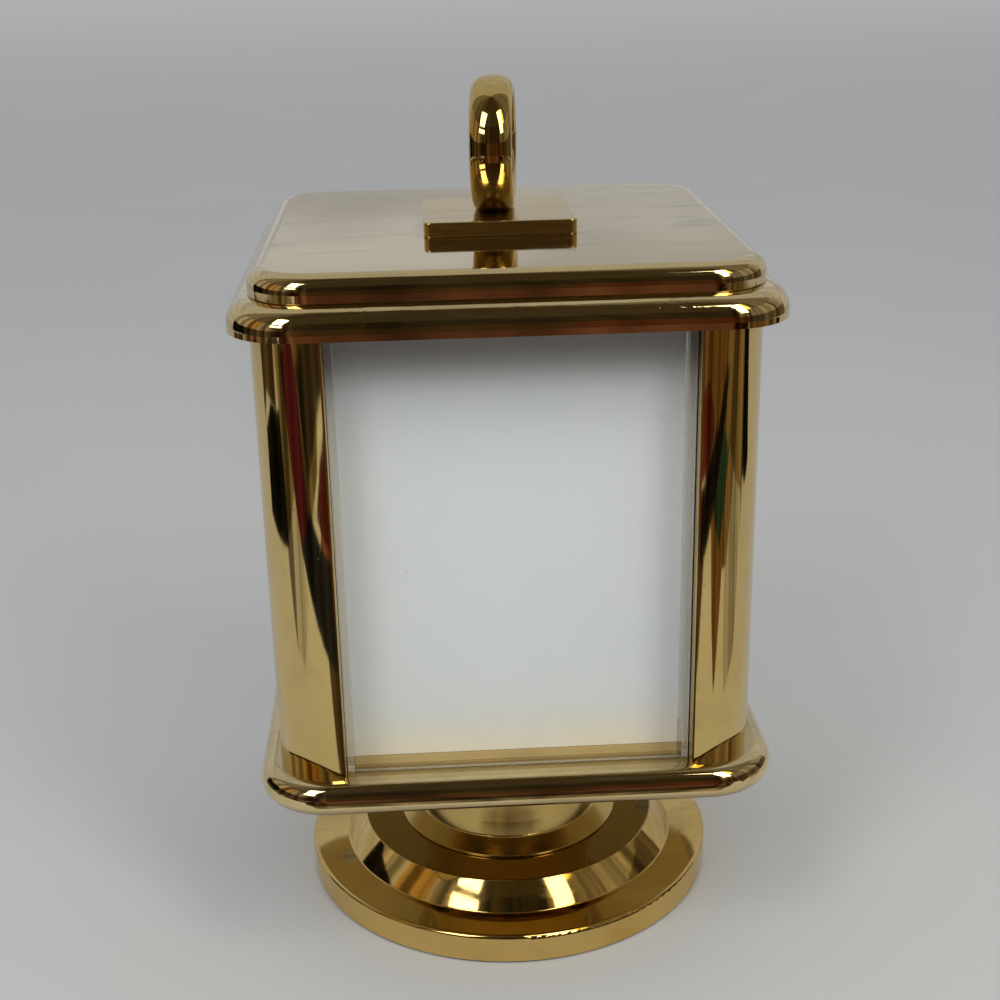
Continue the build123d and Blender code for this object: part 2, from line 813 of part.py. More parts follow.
def set_knob():
    """Fluted knob on the transfer arbor."""
    knob = disc(knob_radius, knob_back, knob_front)
    for flute in range(knob_flutes):
        angle = math.radians(360 * flute / knob_flutes)
        x = (knob_radius + knob_flute_depth) * math.cos(angle)
        y = (knob_radius + knob_flute_depth) * math.sin(angle)
        knob -= disc(2 * knob_flute_depth, knob_back, knob_front, x, y)
    knob -= disc(transfer_arbor_radius, knob_back, knob_front)
    return Pos(0, -transfer_offset, 0) * knob


def transfer_wheel():
    """Wheel and pinion on one arbor: the cannon pinion turns it, and it turns the hour wheel."""
    down = 270
    wheel_spacing = 360 / transfer_wheel_teeth
    pinion_spacing = 360 / transfer_pinion_teeth
    up = 90
    works = gear(transfer_wheel_teeth, up + wheel_spacing / 2, cannon_back, cannon_front)
    pinion_front = hour_wheel_front + layer_gap / 2
    works += gear(transfer_pinion_teeth, up + pinion_spacing / 2, cannon_front, pinion_front)
    works += disc(transfer_arbor_radius, knob_back, cannon_back)
    works += disc(seconds_pivot_radius, pinion_front, case_inside + front_pivot_length)
    x = transfer_offset * math.cos(math.radians(down))
    y = transfer_offset * math.sin(math.radians(down))
    return Pos(x, y, 0) * works


def minute_arbor():
    down = 270
    arbor = disc(minute_arbor_radius, cannon_back, minute_hand_front)
    arbor += gear(cannon_teeth, down, cannon_back, cannon_front)
    return arbor - disc(seconds_arbor_radius + running_gap, cannon_back, minute_hand_front)


def hour_wheel():
    down = 270
    back = hour_wheel_front - hour_wheel_thickness
    wheel = gear(hour_wheel_teeth, down, back, hour_wheel_front)
    wheel += disc(pipe_radius, back, hour_hand_front)
    return wheel - disc(minute_arbor_radius + running_gap, back, hour_hand_front)


def seconds_wheel():
    wheel = disc(seconds_wheel_radius, seconds_wheel_back, seconds_wheel_front)
    wheel += disc(seconds_arbor_radius, seconds_wheel_front, seconds_hand_front)
    pivot_end = seconds_wheel_back - layer_gap - pivot_boss_radius
    return wheel + disc(seconds_pivot_radius, pivot_end, seconds_wheel_back)


def clock():
    cell = disc(cell_radius, cell_back, cell_front, 0, cell_offset)
    gasket_outside = panel_hole_radius - running_gap
    nut = tube(movement_nut_radius, bushing_radius + screw_gap, dial_face, movement_nut_front)
    dial = tube(glass_radius, bushing_radius + screw_gap, dial_back, dial_face)
    nodes = {
        "clock_bezel": clock_bezel(),
        "clock_lens": clock_lens(),
        "dial_spacer": tube(glass_radius, glass_radius - spacer_wall, dial_face, lens_back),
        "clock_dial": dial,
        "clock_cup": clock_cup(),
        "insert_gasket": tube(gasket_outside, sleeve_outside, -gasket_length, 0),
        "movement_nut": nut,
        "movement_case": movement_case(),
        "movement_cover": movement_cover(),
        "circuit_board": circuit_board(),
        "battery_strap": battery_strap(),
        "button_cell": cell,
        "transfer_wheel": transfer_wheel(),
        "set_knob": set_knob(),
        "minute_arbor": minute_arbor(),
        "hour_wheel": hour_wheel(),
        "seconds_wheel": seconds_wheel(),
        "hour_hand": hand(
            hour_hand_length,
            hour_hand_width,
            hour_hub_radius,
            pipe_radius,
            hour_hand_angle,
            hour_hand_back,
            hour_hand_front,
        ),
        "minute_hand": hand(
            minute_hand_length,
            minute_hand_width,
            minute_hub_radius,
            minute_arbor_radius,
            minute_hand_angle,
            minute_hand_back,
            minute_hand_front,
        ),
        "seconds_hand": hand(
            seconds_hand_length,
            seconds_hand_width,
            seconds_hub_radius,
            seconds_arbor_radius,
            seconds_hand_angle,
            seconds_hand_back,
            seconds_hand_front,
        ),
    }
    return {name: clock_place * piece for name, piece in nodes.items()}


nodes = {}
nodes.update(pedestal())
nodes.update(box())
nodes.update(lid_group())
nodes.update(clock())
for name, piece in nodes.items():
    export_step(piece, f"parts/{name}.step")

print("height", round(plaque_top - ring_flat + 2 * ring_outer_radius, 2))
print("window", round(window_width, 2), "by", round(rim_bottom - tray_top, 2))
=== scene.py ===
import json
import math

import bmesh
import bpy
from mathutils import Matrix, Vector


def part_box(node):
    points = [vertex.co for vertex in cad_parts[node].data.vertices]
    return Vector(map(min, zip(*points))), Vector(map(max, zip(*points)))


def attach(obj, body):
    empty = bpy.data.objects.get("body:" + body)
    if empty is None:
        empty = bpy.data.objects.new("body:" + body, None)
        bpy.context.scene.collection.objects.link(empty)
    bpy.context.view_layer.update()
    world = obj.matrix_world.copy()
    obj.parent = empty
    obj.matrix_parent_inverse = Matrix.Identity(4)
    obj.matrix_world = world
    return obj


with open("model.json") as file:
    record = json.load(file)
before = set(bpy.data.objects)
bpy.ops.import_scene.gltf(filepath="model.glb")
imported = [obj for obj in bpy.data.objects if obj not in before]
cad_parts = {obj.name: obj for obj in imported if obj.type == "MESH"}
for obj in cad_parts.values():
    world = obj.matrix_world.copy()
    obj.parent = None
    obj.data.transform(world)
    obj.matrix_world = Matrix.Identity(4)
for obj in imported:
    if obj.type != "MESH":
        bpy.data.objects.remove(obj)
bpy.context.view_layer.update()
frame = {"nodes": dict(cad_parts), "record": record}
nodes = frame["nodes"]
MM = 0.001


def new_object(name, data):
    """Object in the scene that holds a mesh, a lamp or a camera."""
    made = bpy.data.objects.new(name, data)
    bpy.context.scene.collection.objects.link(made)
    return made


# Camera, in millimetres, pixels of the square picture, and radians

CAMERA_PLACE = (-14.84, -287.90, 186.38)
CAMERA_YAW = -0.050
CAMERA_PITCH = 0.357
CAMERA_ROLL = -0.020
FOCAL_PIXELS = 1554.66
PICTURE_PIXELS = 1000
SENSOR = 36.0


def make_camera():
    yaw, pitch, roll = CAMERA_YAW, CAMERA_PITCH, CAMERA_ROLL
    level = math.cos(pitch)
    forward = Vector((-math.sin(yaw) * level, math.cos(yaw) * level, -math.sin(pitch)))
    right = Vector((math.cos(yaw), math.sin(yaw), 0))
    up = right.cross(forward)
    rolled_right = math.cos(roll) * right + math.sin(roll) * up
    rolled_up = -math.sin(roll) * right + math.cos(roll) * up
    data = bpy.data.cameras.new("view")
    data.sensor_width = SENSOR
    data.lens = FOCAL_PIXELS * SENSOR / PICTURE_PIXELS
    data.clip_start = 0.01
    data.clip_end = 100
    camera = new_object("view", data)
    turn = Matrix((rolled_right, rolled_up, -forward)).transposed().to_4x4()
    camera.matrix_world = Matrix.Translation(Vector(CAMERA_PLACE) * MM) @ turn
    bpy.context.scene.camera = camera


# Node trees

FADE_OUT = (1.0, 0.0)
# share of the painted shade on brass faces that look down which flat undersides get
FLAT_UNDERSIDE_SHADE = 0.45
LOW_PARTS = 60 * MM            # the tray's top is below this height
LID_PARTS = 130 * MM           # the lid's top is above this one
TRAY_DULLNESS = 0.35
PLAQUE_DULLNESS = 0.6
PLAQUE_DULL_REACH = (0.2 * MM, 2.2 * MM)
SOCKETS = {
    "colour": "Base Color",
    "rough": "Roughness",
    "metal": "Metallic",
    "coat": "Coat Weight",
    "coat_rough": "Coat Roughness",
    "sheen": "Sheen Weight",
    "glass": "Transmission Weight",
    "ior": "IOR",
    "specular": "Specular IOR Level",
}


def rgba(colour):
    """A socket as it is, or a plain colour with its alpha."""
    return colour if isinstance(colour, bpy.types.NodeSocket) else (*colour, 1)


def toned(colour, share, plus=0.0):
    """A plain colour made darker or paler."""
    return [min(1, c * share + plus) for c in colour]


class Nodes:
    """A node tree, with short ways to add its nodes. Lengths are in metres."""

    def __init__(self, tree, coordinates):
        self.tree = tree
        tree.nodes.clear()
        self.place = self.add("ShaderNodeTexCoord").outputs[coordinates]

    def add(self, kind, inputs=None, **settings):
        """A node with its settings, then a value or another node's socket on each named input."""
        node = self.tree.nodes.new(kind)
        for name, value in settings.items():
            setattr(node, name, value)
        for name, value in (inputs or {}).items():
            self.wire(value, node.inputs[name])
        return node

    def wire(self, source, target):
        """Joins a socket, or sets a value, to a target socket."""
        if isinstance(source, bpy.types.NodeSocket):
            self.tree.links.new(source, target)
        else:
            target.default_value = source

    def maths(self, operation, a, b=0.0):
        return self.add("ShaderNodeMath", {0: a, 1: b}, operation=operation).outputs[0]

    def vectors(self, operation, a, b):
        return self.add("ShaderNodeVectorMath", {0: a, 1: b}, operation=operation)

    def split(self, vector):
        """The x, y and z of a vector."""
        return self.add("ShaderNodeSeparateXYZ", {0: vector}).outputs

    def noise(self, scale, detail=3.0, rough=0.5, stretch=(1, 1, 1), place=None, twist=0.0):
        stretched = self.vectors("MULTIPLY", place or self.place, stretch).outputs[0]
        values = {"Scale": scale, "Detail": detail, "Roughness": rough, "Distortion": twist}
        return self.add("ShaderNodeTexNoise", {"Vector": stretched, **values}).outputs["Fac"]

    def span(self, value, low, high, out_low=0.0, out_high=1.0):
        """Goes smoothly from out_low to out_high while the value goes from low to high."""
        ends = {"From Min": low, "From Max": high, "To Min": out_low, "To Max": out_high}
        node = self.add("ShaderNodeMapRange", {"Value": value, **ends}, interpolation_type="SMOOTHSTEP")
        return node.outputs["Result"]

    def blend(self, share, a, b):
        """Colour a where the share is 0, b where it is 1."""
        return self.add("ShaderNodeMix", {0: share, 6: rgba(a), 7: rgba(b)}, data_type="RGBA").outputs[2]

    def cover(self, under, over, mask, amount):
        """A colour over another one where the mask is 1, by an amount."""
        return self.blend(self.maths("MULTIPLY", mask, amount), under, over)

    def plus(self, value, mask, amount):
        """A value with an amount added where the mask is 1."""
        return self.maths("ADD", value, self.maths("MULTIPLY", mask, amount))


class Finish(Nodes):
    """One node material."""

    def __init__(self, name):
        self.material = bpy.data.materials.new(name)
        self.material.use_nodes = True
        super().__init__(self.material.node_tree, "Object")
        self.shader = self.add("ShaderNodeBsdfPrincipled")
        self.output = self.add("ShaderNodeOutputMaterial", {"Surface": self.shader.outputs[0]})

    def set(self, **values):
        for name, value in values.items():
            self.wire(value, self.shader.inputs[SOCKETS[name]])

    def bump(self, height, depth):
        node = self.add("ShaderNodeBump", {"Strength": 1.0, "Distance": depth, "Height": height})
        self.wire(node.outputs[0], self.shader.inputs["Normal"])

    def normal(self):
        return self.add("ShaderNodeNewGeometry").outputs["Normal"]

    def specks(self, scale, size, share):
        """Scattered round spots: 1 in a spot. scale is spots in a metre, size a share of their spacing."""
        cells = self.add("ShaderNodeTexVoronoi", {"Vector": self.place, "Scale": scale})
        near = self.span(cells.outputs["Distance"], size * 0.6, size, *FADE_OUT)
        draw = self.add("ShaderNodeSeparateColor", {0: cells.outputs["Color"]}).outputs[0]
        return self.maths("MULTIPLY", near, self.maths("LESS_THAN", draw, share))

    def edges(self, radius):
        """Near 1 on an outer or inner edge, 0 on an even surface."""
        bevel = self.add("ShaderNodeBevel", {"Radius": radius}, samples=4)
        likeness = self.vectors("DOT_PRODUCT", bevel.outputs[0], self.normal()).outputs["Value"]
        return self.span(likeness, 0.80, 0.995, *FADE_OUT)

    def turning(self):
        """Radius and height about Z, for the marks left by a lathe."""
        x, y, z = self.split(self.place)
        square = self.maths("ADD", self.maths("MULTIPLY", x, x), self.maths("MULTIPLY", y, y))
        return self.add("ShaderNodeCombineXYZ", {0: self.maths("SQRT", square), 1: z}).outputs[0]

    def facing_down(self):
        """1 on faces that slope down and less on flat undersides: the mask of painted shade on brass, which
        also makes it rougher.
        """
        z = self.split(self.normal())[2]
        steep = self.span(z, -0.80, -0.20, *FADE_OUT)
        return self.maths("MULTIPLY", steep, self.span(z, -0.998, -0.98, FLAT_UNDERSIDE_SHADE, 1.0))

    def unpolished(self):
        """More than 0 on the tray's flat top and in patches along the plaque's base."""
        place = self.split(self.place)
        level = self.span(self.split(self.normal())[2], 0.97, 0.999)
        tray = self.maths("MULTIPLY", self.maths("LESS_THAN", place[2], LOW_PARTS), level)
        low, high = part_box("handle_plaque")
        beyond = []
        for axis in (0, 1):
            middle, half = (low[axis] + high[axis]) / 2, (high[axis] - low[axis]) / 2
            off_middle = self.maths("ABSOLUTE", self.maths("SUBTRACT", place[axis], middle))
            beyond.append(self.maths("SUBTRACT", off_middle, half))
        near = self.span(self.maths("MAXIMUM", *beyond), *PLAQUE_DULL_REACH, *FADE_OUT)
        base = self.maths("MULTIPLY", near, self.span(self.noise(260, 4, 0.6), 0.40, 0.62))
        base = self.maths("MULTIPLY", base, self.maths("GREATER_THAN", place[2], LID_PARTS))
        tray = self.maths("MULTIPLY", tray, TRAY_DULLNESS)
        return self.maths("MAXIMUM", tray, self.maths("MULTIPLY", base, PLAQUE_DULLNESS))


# Materials

NECK_BASE = 11.0 * MM          # the neck is brushed, and painted darker as painted shade under the tray, above this height
FOOT_STEP = 10.8 * MM          # from here up to the neck, the joint between them is dark
FOLD_PLACE = 29.9 * MM         # a pane's side wings start here, from the box's middle
FOLD_CHANGE = 10 * MM
# painted light and shade of the pane's side wings: warm and paler on the left, darker on the right
PANE_WING_LIGHT_AND_SHADE = ((0.96, 0.92, 0.85), (0.80, 0.77, 0.70))
PANE_FOOT = 44.0 * MM
# painted shade at the pane's foot, where it stands in the tray
PANE_FOOT_SHADE = (0.52, 0.46, 0.36)
# the front card lies in front of this; only it has some of the card's painted light and shade
FRONT_CARD_LIMIT = -35 * MM

# Each kind of brass: its colour, and the deeper one that it has in places
GOLD = ((0.73, 0.54, 0.215), (0.65, 0.46, 0.16))
PALE = ((0.79, 0.63, 0.33), (0.73, 0.56, 0.26))
TURNED = ((0.76, 0.54, 0.19), (0.68, 0.45, 0.13))

# Tones, roughness and polishing lines of each brass, the lines as waves in a metre along x, y and z
BRASSES = {
    "polished_brass": (PALE, 0.045, (160, 1500, 1500), {"smudges": 0.8, "coat": 0.2, "dull": True}),
    "post_brass": (GOLD, 0.05, (1800, 1800, 40), {"smudges": 0.4, "spots": 0.2}),
    "plaque_brass": (GOLD, 0.16, (60, 1500, 3000), {}),
    "ring_brass": (GOLD, 0.05, (500, 500, 500), {"smudges": 0.25}),
    "turned_brass": (TURNED, 0.06, (3000, 3000, 1), {"turned": True}),
    "panel_brass": (GOLD, 0.09, (60, 2200, 2200), {}),
    "bezel_brass": (GOLD, 0.06, (900, 900, 900), {}),
}

# Colour, roughness and grain of the plain metals
ACROSS = (900, 60, 60)
METALS = {
    "wheel_brass": ((0.78, 0.60, 0.28), 0.25, ACROSS),
    "steel": ((0.56, 0.56, 0.55), 0.28, ACROSS),
    "spring_steel": ((0.50, 0.50, 0.50), 0.30, ACROSS),
    "cell_steel": ((0.66, 0.66, 0.66), 0.20, (60, 60, 900)),
}

# Colour and roughness of plastics and rubber
PLASTICS = {
    "core_plastic": ((0.035, 0.035, 0.037), 0.5),
    "movement_plastic": ((0.05, 0.05, 0.052), 0.42),
    "knob_plastic": ((0.60, 0.59, 0.55), 0.4),
    "wheel_plastic": ((0.72, 0.72, 0.70), 0.4),
    "nylon": ((0.78, 0.76, 0.70), 0.35),
    "hand_black": ((0.012, 0.012, 0.012), 0.3),
    "gasket_rubber": ((0.02, 0.02, 0.02), 0.7),
}
PLASTIC_CHANGE = 0.12

CARD_TONES = ((0.75, 0.785, 0.82), (0.80, 0.83, 0.86))
CARD_MARK = (0.28, 0.26, 0.23)

# Painted light and shade on a card: painted warm light bounced from the brass, painted shadow of the right
# post and painted shadow under the rim.
# Columns: axis, where it starts and ends to change in millimetres, whether it fades out that way, whether
# only the front card has it, its colour, and how far it covers the card
CARD_PAINTED_LIGHT_AND_SHADE = (
    # painted warm light bounced from the tray, at the foot of every card
    (2, 43, 56, True, False, (0.85, 0.80, 0.70), 0.8),
    # painted warm light bounced from the left post, on the front card's left
    (0, -31, -18, True, True, (0.95, 0.89, 0.78), 0.9),
    # painted shadow of the right post, on the front card's right
    (0, 20, 28, False, True, (0.50, 0.52, 0.53), 0.35),
    # painted shadow under the rim, at the top of every card
    (2, 110.5, 120.5, False, False, (0.31, 0.28, 0.25), 1.0),
)
FELT_TONES = ((0.012, 0.05, 0.028), (0.03, 0.095, 0.05))
FELT_WORN = (0.06, 0.12, 0.08)
ENAMEL_TONES = ((0.80, 0.79, 0.74), (0.84, 0.83, 0.79))
BOARD_TONES = ((0.01, 0.10, 0.04), (0.03, 0.19, 0.08))


def brass(name, tones, rough, stretch, turned=False, smudges=0.5, spots=0.10, coat=0.0, dull=False):
    """Polished brass: broad tone changes, smudges, small dark spots, polishing lines, paler edges and
    painted shade on faces that look down.

    Turned brass has its lines round Z, a dark joint on the foot and a neck that is brushed and carries
    painted shade under the tray. Where it is dull, it has darkened on the tray's flat top and round the
    plaque's base, which a cloth doesn't reach.
    """
    m = Finish(name)
    colour, deep = tones
    broad = m.noise(38, 3, 0.55, (0.5, 1.6, 0.8))
    look = m.blend(m.span(broad, 0.38, 0.70), colour, deep)
    smudge = m.span(m.noise(75, 5, 0.62, (0.6, 1.8, 1.0), twist=0.8), 0.50, 0.74)
    look = m.cover(look, toned(deep, 0.68, 0.05), smudge, smudges)
    spot = m.specks(560, 0.10, spots)
    look = m.cover(look, toned(deep, 0.35), spot, 0.45)
    edge = m.edges(0.5 * MM)
    look = m.cover(look, toned(colour, 1.08, 0.03), edge, 0.30)
    lines = m.noise(1.0, 2, stretch=stretch, place=m.turning() if turned else None)
    # mask of the painted shade on faces that look down
    under = m.facing_down()
    roughness = m.plus(rough, smudge, smudges * 0.10)
    roughness = m.plus(roughness, m.span(lines, 0.45, 0.75), rough * 0.5)
    for mask, amount in ((spot, 0.20), (edge, 0.04), (under, 0.22)):
        roughness = m.plus(roughness, mask, amount)
    if turned:
        z = m.split(m.place)[2]
        neck_satin_and_shade = m.maths("GREATER_THAN", z, NECK_BASE)
        joint = m.maths("MULTIPLY", m.maths("GREATER_THAN", z, FOOT_STEP), m.maths("SUBTRACT", 1.0, neck_satin_and_shade))
        look = m.cover(look, toned(deep, 0.42), joint, 0.9)
        # painted shade on the neck under the tray; it is brushed, so also rougher
        look = m.cover(look, toned(colour, 0.80), neck_satin_and_shade, 0.75)
        roughness = m.plus(roughness, neck_satin_and_shade, 0.10)
    if dull:
        look = m.blend(m.unpolished(), look, toned(deep, 0.58))
    # faces that look down get painted shade
    m.set(colour=m.blend(under, look, toned(deep, 0.36)), rough=roughness, metal=1.0)
    if coat:
        m.set(coat=coat, coat_rough=0.05)
    height = m.plus(lines, m.noise(1400, 2), 0.25)
    m.bump(m.plus(height, spot, -0.8), 0.0015 * MM)
    return m.material


def metal(name, colour, rough, stretch):
    """Plain rolled or turned metal with a fine grain."""
    m = Finish(name)
    look = m.blend(m.noise(110, 4), toned(colour, 0.86), toned(colour, 1.06))
    lines = m.noise(1.0, 2, stretch=stretch)
    m.set(colour=m.cover(look, toned(colour, 1.15, 0.03), m.edges(0.3 * MM), 0.3), metal=1.0)
    m.set(rough=m.plus(rough, lines, rough * 0.6))
    m.bump(lines, 0.003 * MM)
    return m.material


def plastic(name, colour, rough):
    """Moulded plastic or rubber: a fine grain, slight tone changes and rubbed edges."""
    m = Finish(name)
    darker, paler = toned(colour, 1 - PLASTIC_CHANGE), toned(colour, 1 + PLASTIC_CHANGE)
    look = m.blend(m.noise(70, 3), darker, paler)
    fine = m.noise(900, 2)
    m.set(colour=m.cover(look, toned(colour, 1.25, 0.03), m.edges(0.4 * MM), 0.25))
    m.set(rough=m.plus(rough - 0.06, fine, 0.12))
    m.bump(fine, 0.02 * MM)
    return m.material


def clear(name, tint, rough, ior, smear, folded=False):
    """Clear sheet with faint smears and dust; lamps shine through it.

    A folded pane is darker in its side wings and at its foot: painted warm light on the left wing, more
    painted shade on the right one, and a darker, warmer painted shade at its foot.
    """
    m = Finish(name)
    film = m.span(m.noise(55, 5, 0.6, twist=0.6), 0.45, 0.8)
    dust = m.specks(700, 0.07, 0.06)
    tone = m.blend(m.noise(25, 2), tint, toned(tint, 0.992))
    if folded:
        x, y, z = m.split(m.place)
        nearer = m.maths("MINIMUM", m.maths("ABSOLUTE", x), m.maths("ABSOLUTE", y))
        # painted light and shade on the wings, then painted shade at the foot
        wings = m.blend(m.span(x, -FOLD_CHANGE, FOLD_CHANGE), *PANE_WING_LIGHT_AND_SHADE)
        tone = m.blend(m.maths("GREATER_THAN", nearer, FOLD_PLACE), tone, wings)
        tone = m.blend(m.maths("LESS_THAN", z, PANE_FOOT), tone, PANE_FOOT_SHADE)
    m.set(colour=tone, glass=1.0, ior=ior)
    m.set(rough=m.plus(m.plus(rough, film, smear), dust, 0.15))
    m.bump(m.noise(30, 2), 0.004 * MM)
    for_lamps = m.add("ShaderNodeLightPath").outputs["Is Shadow Ray"]
    through = m.add("ShaderNodeBsdfTransparent", {0: rgba(tint)}).outputs[0]
    both = m.add("ShaderNodeMixShader", {0: for_lamps, 1: m.shader.outputs[0], 2: through})
    m.wire(both.outputs[0], m.output.inputs["Surface"])
    return m.material


def card_paper():
    """Blank coated card: fine fibres, tiny marks, and painted light and shade: warm bounced light at its
    foot and left, shadow at its right and top.
    """
    m = Finish("card_paper")
    place = m.split(m.place)
    fibres = m.noise(1.0, 4, 0.6, (500, 500, 900))
    look = m.blend(m.noise(26, 3), *CARD_TONES)
    in_front = m.maths("LESS_THAN", place[1], FRONT_CARD_LIMIT)
    # paints the card's light and shade, row by row
    for axis, start, end, fades_out, only_front, colour, amount in CARD_PAINTED_LIGHT_AND_SHADE:
        mask = m.span(place[axis], start * MM, end * MM, *(FADE_OUT if fades_out else ()))
        if only_front:
            mask = m.maths("MULTIPLY", mask, in_front)
        look = m.cover(look, colour, mask, amount)
    m.set(colour=m.cover(look, CARD_MARK, m.specks(260, 0.05, 0.30), 0.6))
    m.set(rough=m.plus(0.50, fibres, 0.15), specular=0.4)
    m.bump(fibres, 0.01 * MM)
    return m.material


def felt():
    m = Finish("felt_green")
    fibres = m.noise(1300, 4, 0.7)
    look = m.blend(m.span(fibres, 0.3, 0.7), *FELT_TONES)
    look = m.cover(look, FELT_WORN, m.edges(1 * MM), 0.4)
    m.set(colour=look, rough=0.95, sheen=0.6, specular=0.2)
    m.bump(fibres, 0.25 * MM)
    return m.material


def enamel():
    m = Finish("dial_enamel")
    m.set(colour=m.blend(m.noise(60, 3), *ENAMEL_TONES), coat=0.3, coat_rough=0.1)
    m.set(rough=m.plus(0.28, m.noise(300, 3), 0.1))
    m.bump(m.noise(700, 2), 0.004 * MM)
    return m.material


def circuit():
    m = Finish("board_green")
    tracks = m.noise(420, 1)
    m.set(colour=m.blend(m.span(tracks, 0.48, 0.56), *BOARD_TONES), rough=m.plus(0.3, m.noise(500, 2), 0.15))
    m.bump(tracks, 0.03 * MM)
    return m.material


def make_materials():
    made = {
        "clear_pane": clear("clear_pane", (0.982, 0.99, 0.984), 0.01, 1.49, 0.03, folded=True),
        "lens_glass": clear("lens_glass", (0.985, 0.99, 0.99), 0.0, 1.5, 0.01),
        "print_card": card_paper(),
        "board": circuit(),
        "dial_enamel": enamel(),
        "felt": felt(),
    }
    for name, (tones, rough, lines, marks) in BRASSES.items():
        made[name] = brass(name, tones, rough, lines, **marks)
    for name, looks in METALS.items():
        made[name] = metal(name, *looks)
    for name, looks in PLASTICS.items():
        made[name] = plastic(name, *looks)
    return made


def dress(materials):
    """Gives each CAD node the material of its slot in the record."""
    for row in frame["record"]["subparts"]:
        mesh = nodes[row["node"]].data
        mesh.materials.clear()
        mesh.materials.append(materials[row["material_slot"]])


# Print on the dial: a minute track and Roman numerals, in the dial's own plane, in millimetres

PRINT_DEPTH = 0.04
TRACK_OUTER = 21.6
TRACK_INNER = 20.4
TRACK_LINE = 0.14
TRACK_STEPS = 180
MINUTE_TICK = 0.22
HOUR_TICK = 0.55
NUMERAL_MIDDLE = 17.3
NUMERAL_HEIGHT = 4.0
THICK_STROKE = 0.62
THIN_STROKE = 0.24
SERIF_WIDTH = THICK_STROKE + 0.5
SERIF_HEIGHT = THIN_STROKE * 0.7
LETTER_WIDTH = {"I": 1.15, "V": 2.5, "X": 2.5}
NUMERALS = ("XII", "I", "II", "III", "IIII", "V", "VI", "VII", "VIII", "IX", "X", "XI")


def stroke(x0, y0, x1, y1, width):
    """Corners of a straight stroke whose ends are level, as in printed numerals."""
    half = width / 2
    return [(x0 - half, y0), (x0 + half, y0), (x1 + half, y1), (x1 - half, y1)]


def letter(kind, x):
    """Strokes and serifs of one letter whose middle is at x, on a line of height 0."""
    top, low = NUMERAL_HEIGHT / 2, -NUMERAL_HEIGHT / 2
    reach = LETTER_WIDTH[kind] / 2 - THICK_STROKE
    left, right = x - reach, x + reach
    if kind == "I":
        parts = [stroke(x, low, x, top, THICK_STROKE)]
        feet = [(x, low), (x, top)]
    elif kind == "V":
        parts = [stroke(x, low, left, top, THICK_STROKE), stroke(x, low, right, top, THIN_STROKE)]
        feet = [(left, top), (right, top)]
    else:
        parts = [stroke(right, low, left, top, THICK_STROKE), stroke(left, low, right, top, THIN_STROKE)]
        feet = [(foot, y) for foot in (left, right) for y in (low, top)]
    for foot, y in feet:
        parts.append(stroke(foot, y - math.copysign(SERIF_HEIGHT, y), foot, y, SERIF_WIDTH))
    return parts


def rotated(points, turn):
    """Points turned clockwise about the dial's centre, by an angle in radians."""
    c, s = math.cos(turn), math.sin(turn)
    return [(x * c + y * s, -x * s + y * c) for x, y in points]


def track_line(radius):
    """Quads of a thin printed ring."""
    inner, outer = radius - TRACK_LINE / 2, radius + TRACK_LINE / 2
    quads = []
    for i in range(TRACK_STEPS):
        a, b = (2 * math.pi * k / TRACK_STEPS for k in (i, i + 1))
        corners = [(inner, a), (inner, b), (outer, b), (outer, a)]
        quads.append([(r * math.sin(t), r * math.cos(t)) for r, t in corners])
    return quads


def printed_quads():
    """All that is printed, as seen by someone who reads the dial."""
    quads = track_line(TRACK_OUTER) + track_line(TRACK_INNER)
    for minute in range(60):
        tick = stroke(0, TRACK_INNER, 0, TRACK_OUTER, MINUTE_TICK if minute % 5 else HOUR_TICK)
        quads.append(rotated(tick, math.radians(6 * minute)))
    for hour, numeral in enumerate(NUMERALS):
        at = -sum(LETTER_WIDTH[kind] for kind in numeral) / 2
        for kind in numeral:
            at += LETTER_WIDTH[kind] / 2
            for part in letter(kind, at):
                raised = [(x, y + NUMERAL_MIDDLE) for x, y in part]
                quads.append(rotated(raised, math.radians(30 * hour)))
            at += LETTER_WIDTH[kind] / 2
    return quads


def dial_print(ink):
    low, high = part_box("clock_dial")
    middle = Vector(((low[0] + high[0]) / 2, high[1], (low[2] + high[2]) / 2))
    mesh = bmesh.new()
    for quad in printed_quads():
        back = [mesh.verts.new(middle + Vector((-x, 0, y)) * MM) for x, y in quad]
        front = [mesh.verts.new(v.co + Vector((0, PRINT_DEPTH, 0)) * MM) for v in back]
        mesh.faces.new(front)
        for i in range(4):
            j = (i + 1) % 4
            mesh.faces.new((back[i], back[j], front[j], front[i]))
        mesh.faces.new(back[::-1])
    bmesh.ops.recalc_face_normals(mesh, faces=mesh.faces)
    data = bpy.data.meshes.new("dial_print")
    mesh.to_mesh(data)
    mesh.free()
    data.materials.append(ink)
    piece = new_object("dial_print", data)
    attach(piece, "clock_insert")


# Stage, in millimetres. The flags stand for a dark room: they give off a dim light of their own, and
# nothing but polished surfaces sees them.

FLOOR_REACH = 30000
FLOOR_TONES = ((0.70, 0.71, 0.72), (0.75, 0.76, 0.77))
FLOOR_FAR_TONE = (0.95, 0.95, 0.95)
FLOOR_PALER = (0.3, 4.0)       # metres behind the part over which the floor turns paler
FLAG_LIFT = 1.5
FLAG_LAYER = 0.05
FLAG_STREAKS = 7

# How dark and how light the streaks of a flag are, as shares of its colour
STREAKY = (0.35, 1.7)
EVEN = (0.80, 1.2)

